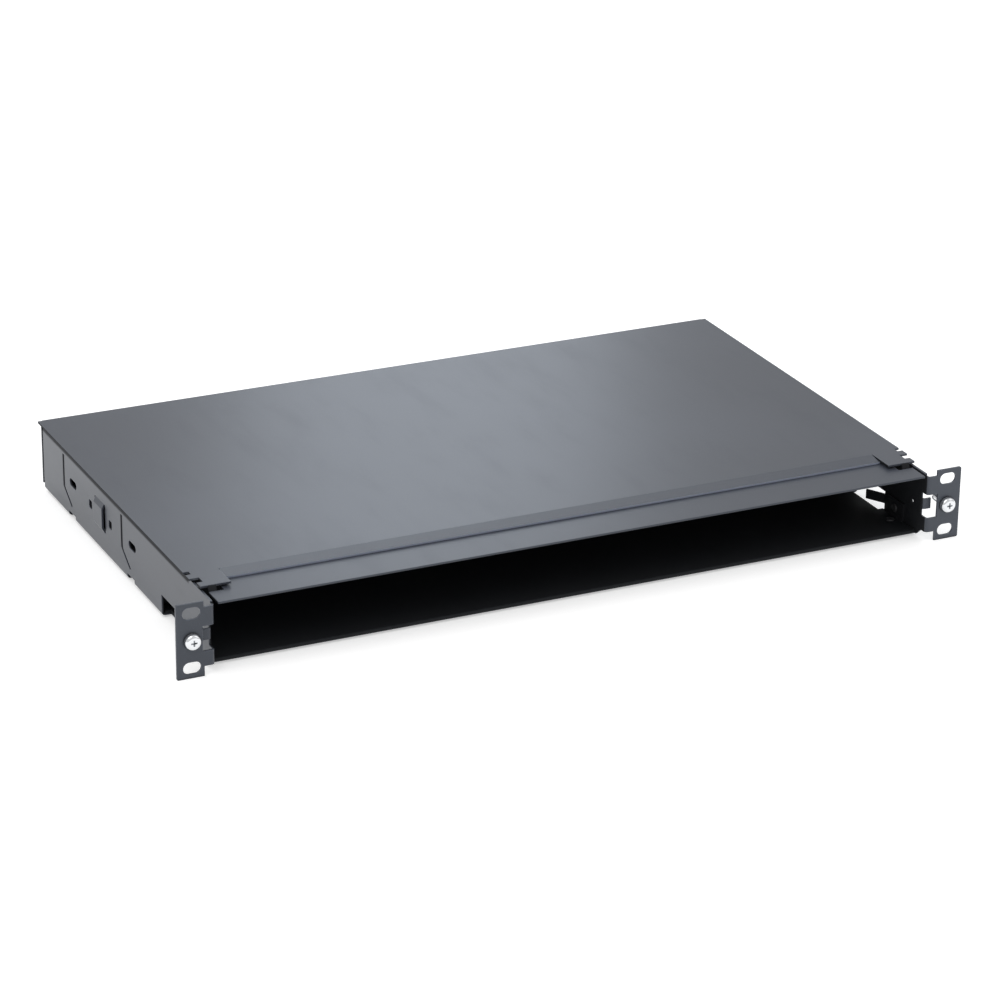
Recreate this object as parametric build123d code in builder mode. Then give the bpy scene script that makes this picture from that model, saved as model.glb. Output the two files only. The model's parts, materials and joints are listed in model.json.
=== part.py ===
# Rack fibre patch panel: an open-front enclosure one rack unit high, for a 19-inch rack.
#
# Frame: the origin is the centre of the four rack slots, on the rear face of the ears,
# which seats on the rack. +X is to the right seen from the front, +Y to the rear, +Z up.
# Everything is in millimetres. The right side plate is drawn, and the left one mirrors it.
import os
from math import cos, radians, sin, tan

from build123d import *

os.makedirs("parts", exist_ok=True)

# Sheet: every folded piece is cut from the same steel
sheet = 1.2
bend_in = 1.0
bend_out = bend_in + sheet
bend_mid = bend_in + sheet / 2
touch = 0.05  # all-round clearance of a shank in its hole
gap = 0.3  # clearance between pieces that move past each other

# Rack interface
rack_width = 482.6
slot_edge = 8.75  # from the middle of a slot to the ear's outer edge
slot_pitch_z = 31.75
slot_length = 10.3
slot_width = 6.8
ear_height = 43.6
ear_tab = 15.8  # width of the full-height part of the ear
ear_corner = 1.0

# Outside of the enclosure
ear_reach = 20.8  # of each ear past the side wall
cover_overhang = 2.0  # of the cover past each wall
cover_top = 22.0
body_bottom = -20.5
wall_rear = 275.8  # rear face of the side plates
neck_bottom = -16.0  # underside of the ears' necks
wall_corner = 4.0  # from here the walls' lower edges slope down to the floor's front edge
floor_front = 9.0  # front edge of the floor
floor_hem = 7.5  # how far the floor's front edge is folded back under it
flange_relief = 1.0  # cut between the walls' plain lower edges and their bottom flanges
flange_width = 12.5  # of the side plates' flanges

# Heights that follow from the way the sheets are stacked
flange_top = cover_top - sheet
rail_top = flange_top - sheet
rail_bottom = rail_top - sheet
pan_bottom = body_bottom + sheet
floor = pan_bottom + sheet
flange_front = floor_front + floor_hem + gap + flange_relief

# Widths that follow from the rack's
slot_pitch_x = rack_width - 2 * slot_edge
body_width = rack_width - 2 * ear_reach
wall_out = body_width / 2
wall_in = wall_out - sheet
wall_mid = wall_out - sheet / 2
flange_in = wall_out - flange_width
ear_out = rack_width / 2
ear_neck = ear_out - ear_tab

# Front rail and the cover's front edge
ear_front = -sheet
band_depth = 14.2  # the part of the rail in front of the corner notches
rail_depth = 45.0
rail_end_gap = 3.5  # between the rail's front band and the outside of the wall
notch_width = 9.0  # of the notch in each rail end, inwards from the band's end
lug_start = 34.0
lug_end = 62.0
lug_gap = 1.3  # between a lug and the wall, clear of the bend
rail_stiffener = 4.0
stiffener_inset = 10.0  # from the notches' inner corners to the stiffener's ends
cover_front = 25.5
lip_run = 9.5  # of the cover's front lip, which slopes down onto the rail
lip_bend = 6.0
corner_tab_front = 16.5
corner_tab_lap = 5.0  # of the cover's corner tabs over the rail, inwards from its notches
tongue_tip = 5.0
tongue_width = 4.5
joggle_run = 2.0
side_flange_start = 46.0

rail_half = wall_out - rail_end_gap
notch_half = rail_half - notch_width
lug_half = wall_in - lug_gap
band_rear = ear_front + band_depth
rail_rear = ear_front + rail_depth
tongue_top = rail_bottom - gap
tongue_half = rail_half + gap
lip_drop = flange_top - rail_top - touch

# Notches in the cover's side edges, in which a screwdriver lifts it: depth y, length and reach
# inwards from the outside of the wall
pry_notches = ((25.0, 6.0, 3.5), (35.5, 4.0, 1.2))

# Rear
rear_flange_height = 9.6
rear_face = wall_rear + sheet
cover_rear = rear_face + gap + sheet
fold_inset = 14.0  # from the wall to the ends of the rear panel's folded flanges
rear_fold_depth = 12.0

# Windows and tabs in the walls
neck_window_height = 14.6
neck_window_width = 5.9  # of its part in the ear, from the outside of the wall
neck_window_rear = 5.2
neck_tab_height = 6.4
neck_tab_reach = 4.3  # of the tab, from the outside of the wall
low_window_front = 44.5
low_window_rear = 77.0
low_window_top = -7.6
low_window_wrap = 5.5  # how far it reaches round the bend into the floor
low_tab_height = 5.7
low_tab_lift = 3.0  # above the floor
low_tab_length = 13.0
low_tab_angle = 30.0

# Slits and holes in the walls
slit_width = 1.8
hook_slit_places = (139.5, 237.5)
hook_slit_top = 15.5
hook_slit_turn = -4.5
hook_slit_end = -12.6
hook_slit_run = 13.0
cable_slot_places = (122.5, 221.5)
cable_slot_length = 11.5
cable_slot_height = 4.6
cable_slot_z = 2.6
tie_hole_places = (158.5, 191.5)
tie_hole_size = 5.0
tie_hole_z = 1.6
bridge_centre = 175.2
bridge_width = 13.6
bridge_bottom = -7.0
bridge_top = 10.5
bridge_rise = 1.6
bridge_ramp = 3.0
foot_notch_places = (126.0, 224.5)
foot_notch_length = 11.5
foot_notch_height = 3.5
foot_notch_depth = 4.1  # inwards from the outside of the wall
tooling_hole_y = 14.5
tooling_hole_z = -2.0
tooling_hole_r = 1.3

# Adapter bulkhead
bulkhead_y = 85.0
bulkhead_fold = 12.0
bulkhead_half = wall_in - bend_in - 0.5
adapter_margin = 13.5  # between the outer windows' share of the width and the outside of the wall
adapter_pitch = (body_width - 2 * adapter_margin) / 3
adapter_window_gap = 34.0  # of sheet between two windows
adapter_window_height = 26.0
adapter_window_z = 0.8
latch_gap = 20.0  # between the sockets of neighbouring windows
latch_hole_r = 3.2
latch_bore_r = 1.7
latch_flange_r = 4.6
adapter_window_width = adapter_pitch - adapter_window_gap
latch_pitch = adapter_pitch - latch_gap

# Cable entries and their grommets
entry_inset = 35.5  # of the outer entries from the outside of the wall
entry_pitch = 35.0
entry_places = (wall_out - entry_inset - entry_pitch, wall_out - entry_inset)
entry_z = -3.2
entry_hole_r = 10.5
grommet_flange_r = 12.6
grommet_bore_r = 7.5
grommet_lip = 2.2

# Slack spools
spool_inset = 105.5  # from the outside of the wall
spool_setback = 93.0  # of the spools' middles behind the bulkhead's front
spool_x = wall_out - spool_inset
spool_y = bulkhead_y + spool_setback
spool_r = 30.0
spool_wall = 2.2
spool_height = 28.0
spool_web = 2.0
spool_boss_r = 6.5
spool_boss_height = 6.0
spool_finger_reach = 42.0
spool_finger_width = 15.0
spool_finger_thickness = 2.0

# Tie brackets
bracket_width = 62.0
bracket_depth = 12.0
bracket_setback = 25.8  # from the walls' rear edges
bracket_y = wall_rear - bracket_setback
bracket_top = -3.0
tie_head_width = 12.0
tie_neck_width = 6.0
tie_head_height = 3.5
tie_notch_depth = 9.0

# Fasteners
rivet_r = 1.6
rivet_head_r = 3.0
rivet_dome = 0.9
flush_head_r = 2.4
flush_angle = 82.0
cover_screw_places = (-100.0, 0.0, 100.0)
cover_screw_z = 15.4
cover_screw_r = 1.5
cover_screw_head_r = 2.9
cover_screw_head = 2.1
cover_screw_length = 6.0
cover_nut_r = 3.1
cover_nut_neck_r = 2.5  # of the part pressed into the panel
cover_nut_depth = 2.4
spool_screw_r = 1.9
spool_screw_head_r = 4.0
spool_screw_head = 2.6
rack_screw_r = 2.4
rack_screw_neck_r = 1.9
rack_screw_neck = 1.5  # how far the thin neck reaches behind the ear's seat
rack_screw_hole_r = 3.0
rack_screw_head_r = 4.6
rack_screw_head = 3.6
rack_screw_length = 12.0
recess_width = 1.1
washer_r = 3.9
washer_thickness = 0.8
ground_x = -60.0
ground_z = 0.0
ground_r = 2.5
ground_length = 12.0
ground_head_r = 4.5
ground_head = 1.4
ground_washer_r = 5.0
ground_washer = 1.0
ground_nut_r = 4.6
ground_nut = 4.0

pieces = {}


def front_view(y):
    """A sketch plane that faces the front at depth y, with x to the right and z up."""
    return Plane.XZ.offset(-y)


def side_view(x):
    """A sketch plane with the depth y to the right and z up."""
    return Plane.YZ.offset(x)


# Rivet places, shared by the rivets and by the holes that they pass
rivet_inset = 7.2  # from the outside of the wall to the rivets in its flanges
rivet_x = wall_out - rivet_inset
floor_rivet_front = flange_front + 10.0
floor_rivet_first = bulkhead_y + 21.0
floor_rivet_last = wall_rear - 18.0
floor_rivet_pitch = (floor_rivet_last - floor_rivet_first) / 3
floor_rivet_rows = [floor_rivet_front] + [floor_rivet_first + row * floor_rivet_pitch for row in range(4)]
floor_rivet_places = [(side * rivet_x, y) for side in (-1, 1) for y in floor_rivet_rows]
rail_rivet_places = [(side * rivet_x, (side_flange_start + lug_end) / 2) for side in (-1, 1)]
pan_tab_y = 31.0
pan_tab_length = 18.0
pan_tab_top = -7.0
pan_tab_rivet_z = (floor + pan_tab_top) / 2
rear_rivet_z = -1.0
rear_rivet_pitch = 16.0
rear_rivet_rows = (rear_rivet_z - rear_rivet_pitch / 2, rear_rivet_z + rear_rivet_pitch / 2)
rear_rivet_places = [(side * rivet_x, z) for side in (-1, 1) for z in rear_rivet_rows]
rear_floor_rivet_pitch = body_width / 6
rear_floor_rivet_y = rear_face - rear_fold_depth / 2 - sheet
rear_floor_rivet_places = [((place - 1.5) * rear_floor_rivet_pitch, rear_floor_rivet_y) for place in range(4)]
bulkhead_rivet_inset = 22.0
bulkhead_rivet_y = bulkhead_y + sheet + bulkhead_fold / 2
bulkhead_rivet_columns = (adapter_pitch / 2, bulkhead_half - bulkhead_rivet_inset)
bulkhead_rivet_places = [(side * x, bulkhead_rivet_y) for side in (-1, 1) for x in bulkhead_rivet_columns]
bracket_x = sum(entry_places) / 2
bracket_rivet_columns = (bracket_x - entry_pitch / 2, bracket_x + entry_pitch / 2)
bracket_rivet_y = bracket_y - bracket_depth / 4
bracket_rivet_places = [(side * x, bracket_rivet_y) for side in (-1, 1) for x in bracket_rivet_columns]
floor_hole_places = floor_rivet_places + rear_floor_rivet_places + bulkhead_rivet_places + bracket_rivet_places
spool_places = [(side * spool_x, spool_y) for side in (-1, 1)]

# Side plates
with BuildPart() as right_side_plate:
    # the ear and its bend, one strip seen from above
    with BuildSketch(Plane.XY.offset(-ear_height / 2)):
        with BuildLine():
            FilletPolyline(
                (ear_out, -sheet / 2), (wall_mid, -sheet / 2), (wall_mid, bend_out + 2 * sheet), radius=bend_mid
            )
        trace(line_width=sheet)
    extrude(amount=ear_height)
    outer_corners = right_side_plate.edges().filter_by(Axis.Y).filter_by(lambda e: e.center().X > ear_out - 0.1)
    fillet(outer_corners, radius=ear_corner)
    # the neck beside the body is only as high as the front opening
    with BuildSketch(front_view(ear_front - 1)):
        with Locations((wall_in - 1, rail_bottom)):
            Rectangle(ear_neck - wall_in + 1, ear_height, align=(Align.MIN, Align.MIN))
        with Locations((wall_in - 1, neck_bottom)):
            Rectangle(ear_neck - wall_in + 1, ear_height, align=(Align.MIN, Align.MAX))
    extrude(amount=-(bend_out + 4 * sheet), mode=Mode.SUBTRACT)
    # the wall, with its lower edge sloping down behind the neck
    with BuildSketch(side_view(wall_in)):
        with BuildLine():
            Polyline(
                (bend_in, neck_bottom),
                (wall_corner, neck_bottom),
                (floor_front, body_bottom),
                (flange_front - flange_relief, body_bottom),
                (flange_front - flange_relief, body_bottom + bend_out),
                (wall_rear - bend_out, body_bottom + bend_out),
                (wall_rear - bend_out, flange_top - bend_out),
                (side_flange_start, flange_top - bend_out),
                (side_flange_start, rail_top),
                (bend_out, rail_top),
                (bend_out, rail_bottom),
                (bend_in, rail_bottom),
                close=True,
            )
        make_face()
    extrude(amount=sheet)
    # top flange, which carries the cover
    with BuildSketch(front_view(side_flange_start)):
        with BuildLine():
            FilletPolyline(
                (flange_in, flange_top - sheet / 2),
                (wall_mid, flange_top - sheet / 2),
                (wall_mid, flange_top - 2 * bend_out),
                radius=bend_mid,
            )
        trace(line_width=sheet)
    extrude(amount=-(wall_rear - bend_out - side_flange_start))
    # bottom flange, which carries the floor
    with BuildSketch(front_view(flange_front)):
        with BuildLine():
            FilletPolyline(
                (flange_in, body_bottom + sheet / 2),
                (wall_mid, body_bottom + sheet / 2),
                (wall_mid, body_bottom + 2 * bend_out),
                radius=bend_mid,
            )
        trace(line_width=sheet)
    extrude(amount=-(wall_rear - bend_out - flange_front))
    # rear flange, which carries the rear panel
    rear_flange_bottom = floor + sheet + 2
    rear_flange_top = flange_top - bend_out - sheet
    with BuildSketch(Plane.XY.offset(rear_flange_bottom)):
        with BuildLine():
            FilletPolyline(
                (flange_in, wall_rear - sheet / 2),
                (wall_mid, wall_rear - sheet / 2),
                (wall_mid, wall_rear - 2 * bend_out),
                radius=bend_mid,
            )
        trace(line_width=sheet)
    extrude(amount=rear_flange_top - rear_flange_bottom)
    # rack slots and the hole for the captive rack screw
    with BuildSketch(front_view(ear_front - 1)):
        with Locations((slot_pitch_x / 2, slot_pitch_z / 2), (slot_pitch_x / 2, -slot_pitch_z / 2)):
            SlotOverall(slot_length, slot_width)
        with Locations((slot_pitch_x / 2, 0)):
            Circle(rack_screw_hole_r)
    extrude(amount=-2 * sheet - 1, mode=Mode.SUBTRACT)
    # the window that wraps the bend between the ear and the wall
    with BuildSketch(Plane.XY.offset(-neck_window_height / 2)):
        with Locations((wall_in - sheet, ear_front - 1)):
            Rectangle(
                neck_window_width + 2 * sheet, neck_window_rear - ear_front + 1, align=(Align.MIN, Align.MIN)
            )
    extrude(amount=neck_window_height, mode=Mode.SUBTRACT)
    # its tab, turned outwards from the window's rear edge
    with BuildSketch(Plane.XY.offset(-neck_tab_height / 2)):
        with BuildLine():
            FilletPolyline(
                (wall_out + neck_tab_reach, neck_window_rear - sheet),
                (wall_mid, neck_window_rear - sheet),
                (wall_mid, neck_window_rear + bend_out),
                radius=bend_mid,
            )
        trace(line_width=sheet)
    extrude(amount=neck_tab_height)
    # the low window beside the front bay, round the bend into the bottom flange
    with BuildSketch(side_view(wall_out - low_window_wrap)):
        with Locations((low_window_front, low_window_top)):
            Rectangle(
                low_window_rear - low_window_front,
                low_window_top - body_bottom + 1,
                align=(Align.MIN, Align.MAX),
            )
    extrude(amount=low_window_wrap + 1, mode=Mode.SUBTRACT)
    # its tab, turned inwards from the window's front edge
    low_tab_x = wall_mid - low_tab_length * sin(radians(low_tab_angle))
    low_tab_y = low_window_front + low_tab_length * cos(radians(low_tab_angle))
    with BuildSketch(Plane.XY.offset(floor + low_tab_lift)):
        with BuildLine():
            FilletPolyline(
                (low_tab_x, low_tab_y),
                (wall_mid, low_window_front),
                (wall_mid, low_window_front - 2 * bend_out),
                radius=bend_mid,
            )
        trace(line_width=sheet)
    extrude(amount=low_tab_height)
    # hook slits, cable slots, tie holes and notches over the bottom bend
    for y in hook_slit_places:
        with BuildSketch(side_view(wall_in - 1)):
            with BuildLine():
                FilletPolyline(
                    (y, hook_slit_top),
                    (y, hook_slit_turn),
                    (y - hook_slit_run, hook_slit_end),
                    radius=hook_slit_run / 2,
                )
            trace(line_width=slit_width)
        extrude(amount=sheet + 2, mode=Mode.SUBTRACT)
    with BuildSketch(side_view(wall_in - 1)):
        with Locations(*[(y, cable_slot_z) for y in cable_slot_places]):
            SlotOverall(cable_slot_length, cable_slot_height)
        with Locations(*[(y, tie_hole_z) for y in tie_hole_places]):
            RectangleRounded(tie_hole_size, tie_hole_size, radius=1)
        with Locations((tooling_hole_y, tooling_hole_z)):
            Circle(tooling_hole_r)
        with Locations((pan_tab_y, pan_tab_rivet_z)):
            Circle(rivet_r + touch)
        with Locations((bridge_centre, (bridge_bottom + bridge_top) / 2)):
            Rectangle(bridge_width + 2 * slit_width, bridge_top - bridge_bottom)
    extrude(amount=sheet + 2, mode=Mode.SUBTRACT)
    with BuildSketch(side_view(wall_out - foot_notch_depth)):
        with Locations(*[(y, body_bottom) for y in foot_notch_places]):
            Rectangle(foot_notch_length, 2 * foot_notch_height)
    extrude(amount=foot_notch_depth + 1, mode=Mode.SUBTRACT)
    # the bridge that a cable tie passes behind
    with BuildSketch(front_view(bridge_centre - bridge_width / 2)):
        with BuildLine():
            Polyline(
                (wall_mid, bridge_bottom - sheet),
                (wall_mid, bridge_bottom),
                (wall_mid + bridge_rise, bridge_bottom + bridge_ramp),
                (wall_mid + bridge_rise, bridge_top - bridge_ramp),
                (wall_mid, bridge_top),
                (wall_mid, bridge_top + sheet),
            )
        trace(line_width=sheet)
    extrude(amount=-bridge_width)
    # rivet holes in the flanges
    flush_places = [Plane((x, y, body_bottom), z_dir=(0, 0, -1)) for x, y in floor_rivet_places if x > 0]
    flush_places += [Plane((x, y, flange_top)) for x, y in rail_rivet_places if x > 0]
    with Locations(*flush_places):
        CounterSinkHole(
            radius=rivet_r + touch,
            counter_sink_radius=flush_head_r + touch,
            depth=3 * sheet,
            counter_sink_angle=flush_angle,
        )
    with BuildSketch(front_view(wall_rear - sheet - 1)):
        with Locations(*[place for place in rear_rivet_places if place[0] > 0]):
            Circle(rivet_r + touch)
    extrude(amount=-sheet - 2, mode=Mode.SUBTRACT)
pieces["right_side_plate"] = right_side_plate

with BuildPart() as left_side_plate:
    mirror(right_side_plate.part, about=Plane.YZ)
pieces["left_side_plate"] = left_side_plate

# Floor, cut back behind its front edge to clear the walls' lower bends
pan_half = wall_in - gap
pan_half_rear = wall_in - bend_in - touch
with BuildPart() as base_pan:
    # the sheet, with its front edge folded back under it round a rounded nose
    with BuildSketch(side_view(-pan_half)):
        with Locations((floor_front + sheet, pan_bottom)):
            Rectangle(wall_rear - gap - floor_front - sheet, sheet, align=(Align.MIN, Align.MIN))
            Rectangle(floor_hem - sheet, sheet, align=(Align.MIN, Align.MAX))
            Circle(sheet)
    extrude(amount=2 * pan_half)
    for side in (-1, 1):
        with BuildSketch(Plane.XY.offset(pan_bottom - 1)):
            # the long side edge, the bend of the upturned tab and the low window's share of the floor
            with Locations((side * pan_half, (flange_front - flange_relief + wall_rear) / 2)):
                Rectangle(2 * (pan_half - pan_half_rear), wall_rear - flange_front + flange_relief)
            with Locations((side * pan_half, pan_tab_y)):
                Rectangle(2 * (pan_half - wall_in + bend_out), pan_tab_length + 2)
            with Locations((side * pan_half, (low_window_front + low_window_rear) / 2)):
                Rectangle(2 * (pan_half - wall_out + low_window_wrap), low_window_rear - low_window_front)
        extrude(amount=sheet + 2, mode=Mode.SUBTRACT)
        # a tab turned up beside the wall
        with BuildSketch(front_view(pan_tab_y - pan_tab_length / 2)):
            with BuildLine():
                FilletPolyline(
                    (side * (wall_in - 2 * bend_out), floor - sheet / 2),
                    (side * (wall_in - sheet / 2), floor - sheet / 2),
                    (side * (wall_in - sheet / 2), pan_tab_top),
                    radius=bend_mid,
                )
            trace(line_width=sheet)
        extrude(amount=-pan_tab_length)
    with BuildSketch(side_view(-wall_in - 1)):
        with Locations((pan_tab_y, pan_tab_rivet_z)):
            Circle(rivet_r + touch)
    extrude(amount=2 * wall_in + 2, mode=Mode.SUBTRACT)
    with BuildSketch(Plane.XY.offset(pan_bottom - 1)):
        with Locations(*floor_hole_places):
            Circle(rivet_r + touch)
        with Locations(*spool_places):
            Circle(spool_screw_r + touch)
    extrude(amount=sheet + 2, mode=Mode.SUBTRACT)
pieces["base_pan"] = base_pan

# Front rail
with BuildPart() as front_rail:
    with BuildSketch(Plane.XY.offset(rail_bottom)):
        with Locations((0, ear_front)):
            Rectangle(2 * rail_half, band_depth, align=(Align.CENTER, Align.MIN))
            Rectangle(2 * notch_half, rail_depth, align=(Align.CENTER, Align.MIN))
        for side in (-1, 1):
            with Locations((side * (lug_half + notch_half - 8) / 2, (lug_start + lug_end) / 2)):
                Rectangle(lug_half - notch_half + 8, lug_end - lug_start)
    extrude(amount=sheet)
    # the rear edge is turned down to stiffen the strip
    with BuildSketch(side_view(-notch_half + stiffener_inset)):
        with BuildLine():
            FilletPolyline(
                (rail_rear - 2 * bend_out, rail_top - sheet / 2),
                (rail_rear + bend_out - sheet / 2, rail_top - sheet / 2),
                (rail_rear + bend_out - sheet / 2, rail_top - rail_stiffener),
                radius=bend_mid,
            )
        trace(line_width=sheet)
    extrude(amount=2 * (notch_half - stiffener_inset))
    front_edge = front_rail.edges().filter_by(Axis.X).group_by(Axis.Y)[0]
    fillet(front_edge, radius=sheet / 3)
    with BuildSketch(Plane.XY.offset(rail_bottom - 1)):
        with Locations(*rail_rivet_places):
            Circle(rivet_r + touch)
    extrude(amount=sheet + 2, mode=Mode.SUBTRACT)
pieces["front_rail"] = front_rail

# Cover
cover_half = wall_out + cover_overhang
lip_half = notch_half - corner_tab_lap - gap
lip_rear = cover_front + lip_run
with BuildPart() as top_cover:
    with BuildSketch(Plane.XY.offset(flange_top)):
        with Locations((0, lip_rear)):
            Rectangle(2 * cover_half, cover_rear - bend_out - lip_rear, align=(Align.CENTER, Align.MIN))
        for side in (-1, 1):
            # a corner tab, flush with the wall in front of its notch
            with Locations((side * (wall_out + lip_half + gap) / 2, corner_tab_front)):
                Rectangle(
                    wall_out - lip_half - gap, lip_rear - corner_tab_front, align=(Align.CENTER, Align.MIN)
                )
            pry_notch_front = pry_notches[0][0]
            with Locations((side * (wall_out + cover_half) / 2, pry_notch_front)):
                Rectangle(cover_overhang, lip_rear - pry_notch_front, align=(Align.CENTER, Align.MIN))
            for y, length, reach in pry_notches:
                with Locations((side * cover_half, y)):
                    Rectangle(2 * (cover_overhang + reach), length, mode=Mode.SUBTRACT)
    extrude(amount=sheet)
    # the front lip, sloping down until its edge rests on the rail
    with BuildSketch(side_view(-lip_half)):
        with BuildLine():
            FilletPolyline(
                (lip_rear + 2 * bend_out, cover_top - sheet / 2),
                (lip_rear, cover_top - sheet / 2),
                (cover_front, cover_top - sheet / 2 - lip_drop),
                radius=lip_bend,
            )
        trace(line_width=sheet)
    extrude(amount=2 * lip_half)
    # the rear edge turned down, with open slots over the screws
    with BuildSketch(side_view(-wall_out + 1)):
        with BuildLine():
            FilletPolyline(
                (cover_rear - 2 * bend_out, cover_top - sheet / 2),
                (cover_rear - sheet / 2, cover_top - sheet / 2),
                (cover_rear - sheet / 2, cover_top - rear_flange_height),
                radius=bend_mid,
            )
        trace(line_width=sheet)
    extrude(amount=2 * (wall_out - 1))
    with BuildSketch(front_view(rear_face)):
        with Locations(*[(x, cover_screw_z) for x in cover_screw_places]):
            Circle(cover_screw_r + gap)
            Rectangle(2 * (cover_screw_r + gap), 3 * rear_flange_height, align=(Align.CENTER, Align.MAX))
    extrude(amount=-(cover_rear - rear_face + 1), mode=Mode.SUBTRACT)
    # tongues that dive through the rail's notches and reach forward under it
    for side in (-1, 1):
        with BuildSketch(side_view(side * (tongue_half - tongue_width / 2 - 1) - tongue_width / 2)):
            with BuildLine():
                FilletPolyline(
                    (corner_tab_front + 2 * bend_out, cover_top - sheet / 2),
                    (corner_tab_front, cover_top - sheet / 2),
                    (corner_tab_front - joggle_run, tongue_top - sheet / 2),
                    (tongue_tip, tongue_top - sheet / 2),
                    radius=bend_in,
                )
            trace(line_width=sheet)
        extrude(amount=tongue_width)
pieces["top_cover"] = top_cover

# Rear panel
fold_half = wall_out - fold_inset
with BuildPart() as rear_panel:
    with BuildSketch(side_view(-fold_half)):
        with BuildLine():
            FilletPolyline(
                (rear_face - rear_fold_depth, flange_top - sheet / 2),
                (rear_face - sheet / 2, flange_top - sheet / 2),
                (rear_face - sheet / 2, floor + sheet / 2),
                (rear_face - rear_fold_depth, floor + sheet / 2),
                radius=bend_mid,
            )
        trace(line_width=sheet)
    extrude(amount=2 * fold_half)
    with BuildSketch(front_view(wall_rear)):
        for side in (-1, 1):
            with Locations((side * (fold_half + wall_out) / 2, (floor + flange_top) / 2)):
                Rectangle(wall_out - fold_half, flange_top - floor - 2 * bend_in)
    extrude(amount=-sheet)
    with BuildSketch(front_view(wall_rear - 1)):
        with Locations(*[(side * x, entry_z) for side in (-1, 1) for x in entry_places]):
            Circle(entry_hole_r)
        with Locations(*rear_rivet_places):
            Circle(rivet_r + touch)
        with Locations(*[(x, cover_screw_z) for x in cover_screw_places]):
            Circle(cover_nut_neck_r)
        with Locations((ground_x, ground_z)):
            Circle(ground_r + touch)
    extrude(amount=-sheet - 2, mode=Mode.SUBTRACT)
    with BuildSketch(Plane.XY.offset(floor - 1)):
        with Locations(*rear_floor_rivet_places):
            Circle(rivet_r + touch)
    extrude(amount=sheet + 2, mode=Mode.SUBTRACT)
pieces["rear_panel"] = rear_panel

# Adapter bulkhead
adapter_places = (-adapter_pitch, 0.0, adapter_pitch)
latch_places = [(x + side * latch_pitch / 2, adapter_window_z) for x in adapter_places for side in (-1, 1)]
with BuildPart() as adapter_bulkhead:
    with BuildSketch(side_view(-bulkhead_half)):
        with BuildLine():
            FilletPolyline(
                (bulkhead_y + bulkhead_fold, rail_top - sheet / 2),
                (bulkhead_y + sheet / 2, rail_top - sheet / 2),
                (bulkhead_y + sheet / 2, floor + sheet / 2),
                (bulkhead_y + bulkhead_fold, floor + sheet / 2),
                radius=bend_mid,
            )
        trace(line_width=sheet)
    extrude(amount=2 * bulkhead_half)
    with BuildSketch(front_view(bulkhead_y - 1)):
        with Locations(*[(x, adapter_window_z) for x in adapter_places]):
            RectangleRounded(adapter_window_width, adapter_window_height, radius=1.5)
        with Locations(*latch_places):
            Circle(latch_hole_r)
    extrude(amount=-sheet - 2, mode=Mode.SUBTRACT)
    with BuildSketch(Plane.XY.offset(floor - 1)):
        with Locations(*bulkhead_rivet_places):
            Circle(rivet_r + touch)
    extrude(amount=sheet + 2, mode=Mode.SUBTRACT)
pieces["adapter_bulkhead"] = adapter_bulkhead

# Latch receptacles, turned sockets with a flange in front of the bulkhead
with BuildPart() as latch_receptacle:
    with BuildSketch(Plane.YZ):
        with BuildLine():
            Polyline(
                (-1, latch_bore_r),
                (-1, latch_flange_r - 0.4),
                (-0.6, latch_flange_r),
                (0, latch_flange_r),
                (0, latch_hole_r - touch),
                (sheet, latch_hole_r - touch),
                (sheet + 3.5, latch_hole_r - 0.8),
                (sheet + 3.5, latch_bore_r),
                close=True,
            )
        make_face()
    revolve(axis=Axis.Y)
with BuildPart() as latch_receptacles:
    with Locations(*[(x, bulkhead_y, z) for x, z in latch_places]):
        add(latch_receptacle.part)
pieces["latch_receptacles"] = latch_receptacles

# Grommets, one in each cable entry
with BuildPart() as grommet:
    with BuildSketch(Plane.YZ):
        with BuildLine():
            Polyline(
                (-grommet_lip, grommet_bore_r + 1),
                (-grommet_lip, grommet_flange_r - 0.8),
                (-grommet_lip + 0.8, grommet_flange_r),
                (0, grommet_flange_r),
                (0, entry_hole_r - touch),
                (sheet, entry_hole_r - touch),
                (sheet, grommet_flange_r),
                (sheet + grommet_lip - 0.8, grommet_flange_r),
                (sheet + grommet_lip, grommet_flange_r - 0.8),
                (sheet + grommet_lip, grommet_bore_r + 1),
                (sheet + grommet_lip - 1, grommet_bore_r),
                (-grommet_lip + 1, grommet_bore_r),
                close=True,
            )
        make_face()
    revolve(axis=Axis.Y)
grommet_names = {
    "left_outer_grommet": -entry_places[1],
    "left_inner_grommet": -entry_places[0],
    "right_inner_grommet": entry_places[0],
    "right_outer_grommet": entry_places[1],
}
for name, x in grommet_names.items():
    with BuildPart() as placed_grommet:
        with Locations((x, wall_rear, entry_z)):
            add(grommet.part)
    pieces[name] = placed_grommet

# Slack spools: a ring on a web, with four fingers over the top
with BuildPart() as spool:
    with BuildSketch(Plane.XY):
        Circle(spool_r)
        with PolarLocations(spool_r * 0.58, 4, start_angle=45):
            SlotOverall(spool_r * 0.5, spool_r * 0.36, rotation=90, mode=Mode.SUBTRACT)
    extrude(amount=spool_web)
    with BuildSketch(Plane.XY):
        Circle(spool_r)
        Circle(spool_r - spool_wall, mode=Mode.SUBTRACT)
    extrude(amount=spool_height)
    with BuildSketch(Plane.XY):
        Circle(spool_boss_r)
    extrude(amount=spool_boss_height)
    with BuildSketch(Plane.XY.offset(spool_height - spool_finger_thickness)):
        with PolarLocations((spool_r - spool_wall + spool_finger_reach) / 2, 4):
            Rectangle(spool_finger_reach - spool_r + spool_wall, spool_finger_width)
    extrude(amount=spool_finger_thickness)
    finger_corners = (
        spool.edges().filter_by(Axis.Z).filter_by(lambda e: e.center().Z > spool_height - spool_finger_thickness)
        .filter_by(lambda e: (e.center().X ** 2 + e.center().Y ** 2) ** 0.5 > spool_finger_reach - 1)
    )
    fillet(finger_corners, radius=3)
    with Locations((0, 0, spool_boss_height)):
        Hole(radius=spool_screw_r + touch)
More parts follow.
